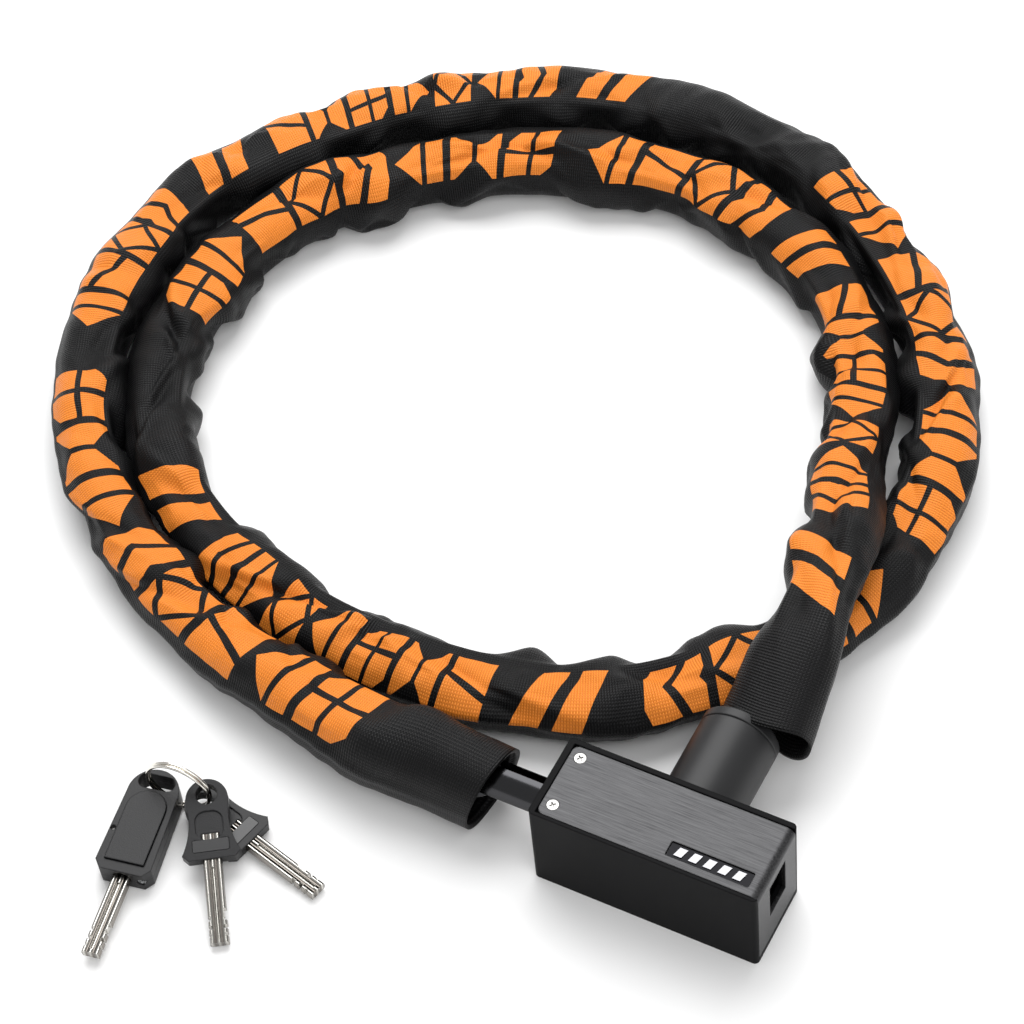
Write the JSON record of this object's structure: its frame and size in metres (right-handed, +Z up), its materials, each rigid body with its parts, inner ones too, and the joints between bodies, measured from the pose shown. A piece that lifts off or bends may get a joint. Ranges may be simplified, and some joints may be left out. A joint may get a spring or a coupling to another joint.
{
  "type": "chain lock",
  "caption": "Chain lock: rectangular lock body with a cylindrical boss, sliding plug, hardened chain in a woven fabric sleeve, and keys on a split ring.",
  "frame": {"origin": "centre of the lock body's base, on the surface it lies on", "axes": "+X along the lock body to its key end, +Y to the boss, +Z up"},
  "size_m": [0.353, 0.4306, 0.0435],
  "materials": {
    "case_black": "fine moulded grain, satin black",
    "boss_black": "satin black, turned",
    "cast_steel": "cast and machined steel",
    "brushed_plate": "dark grey anodised, brushed along its length",
    "screw_steel": "nickel-plated steel",
    "badge_metal": "satin metal badge",
    "brass_barrel": "machined brass",
    "chain_steel": "hardened square-finish steel",
    "sleeve_fabric": "ribbed woven nylon, charcoal black with orange woven bars",
    "plug_steel": "polished black-plated steel",
    "oring_rubber": "black rubber",
    "ring_steel": "polished spring steel",
    "key_plastic": "fine-grained black plastic",
    "key_nickel": "nickel silver, drawn",
    "label_grey": "glossy grey inlay",
    "lens_clear": "clear lamp lens",
    "board_green": "green circuit board"
  },
  "bodies": {
    "lock_body": {"housing": "case_black", "core_block": "cast_steel", "cover_plate": "brushed_plate", "cover_screws": "screw_steel", "badge_plate": "badge_metal", "socket_bush": "cast_steel", "lock_barrel": "brass_barrel", "barrel_face": "cast_steel", "barrel_dowel": "screw_steel", "cover_guides": "case_black", "boss_shroud": "boss_black", "boss_end_ring": "boss_black", "anchor_rivet": "screw_steel", "end_link": "chain_steel", "chain_links": "chain_steel", "fabric_sleeve": "sleeve_fabric", "sleeve_hem_plug": "sleeve_fabric", "sleeve_hem_anchor": "sleeve_fabric"},
    "rotor": {"lock_rotor": "brass_barrel", "detainer_discs": "brass_barrel", "side_bar": "screw_steel", "crank_cam": "cast_steel"},
    "bolt": {"locking_bolt": "cast_steel"},
    "shutter": {"dust_cover": "case_black"},
    "plug": {"plug_pin": "plug_steel", "plug_rivet": "screw_steel", "plug_oring": "oring_rubber"},
    "key_ring": {"split_ring": "ring_steel"},
    "light_key": {"light_shell_bottom": "key_plastic", "light_shell_top": "key_plastic", "light_lens": "lens_clear", "light_board": "board_green", "light_cell": "screw_steel", "light_blade": "key_nickel", "light_screw": "screw_steel"},
    "light_switch": {"light_button": "key_plastic"},
    "key_a": {"key_a_blade": "key_nickel", "key_a_bow": "key_plastic", "key_a_label": "label_grey"},
    "key_b": {"key_b_blade": "key_nickel", "key_b_bow": "key_plastic", "key_b_label": "label_grey"}
  },
  "joints": [
    {"name": "rotor_turn", "type": "hinge", "parent": "lock_body", "child": "rotor", "pos_m": [0, 0, 0.023], "axis": [1, 0, 0], "range_deg": [0, 90]},
    {"name": "bolt_slide", "type": "slide", "parent": "lock_body", "child": "bolt", "axis": [0, 0, 1], "range_m": [0, 0.00424]},
    {"name": "shutter_slide", "type": "slide", "parent": "lock_body", "child": "shutter", "axis": [0, 0, -1], "range_m": [0, 0.0148]},
    {"name": "plug_slide", "type": "slide", "parent": "lock_body", "child": "plug", "axis": [-1, 0, 0], "range_m": [0, 0.027]},
    {"name": "key_set_lift", "type": "slide", "parent": "lock_body", "child": "key_ring", "axis": [0, 0, 1], "range_m": [0, 0.06]},
    {"name": "light_key_swing", "type": "hinge", "parent": "key_ring", "child": "light_key", "pos_m": [-0.1724, -0.0431, 0.0059], "axis": [0, 0, 1], "range_deg": [-15, 0]},
    {"name": "light_button_press", "type": "slide", "parent": "light_key", "child": "light_switch", "axis": [-0.0063, 0.0343, -0.9994], "range_m": [0, 0.0005], "stiffness_N_per_m": 3000, "springref_m": -0.0001},
    {"name": "key_a_swing", "type": "hinge", "parent": "key_ring", "child": "key_a", "pos_m": [-0.1518, -0.0411, 0.0119], "axis": [0, 0, 1], "range_deg": [-2, 4]},
    {"name": "key_b_swing", "type": "hinge", "parent": "key_ring", "child": "key_b", "pos_m": [-0.1547, -0.0413, 0.0047], "axis": [0, 0, 1], "range_deg": [0, 20]}
  ],
  "couplings": [
    {"joint": "rotor_turn", "follows": "bolt_slide", "rad_per_m": 370.2}
  ]
}
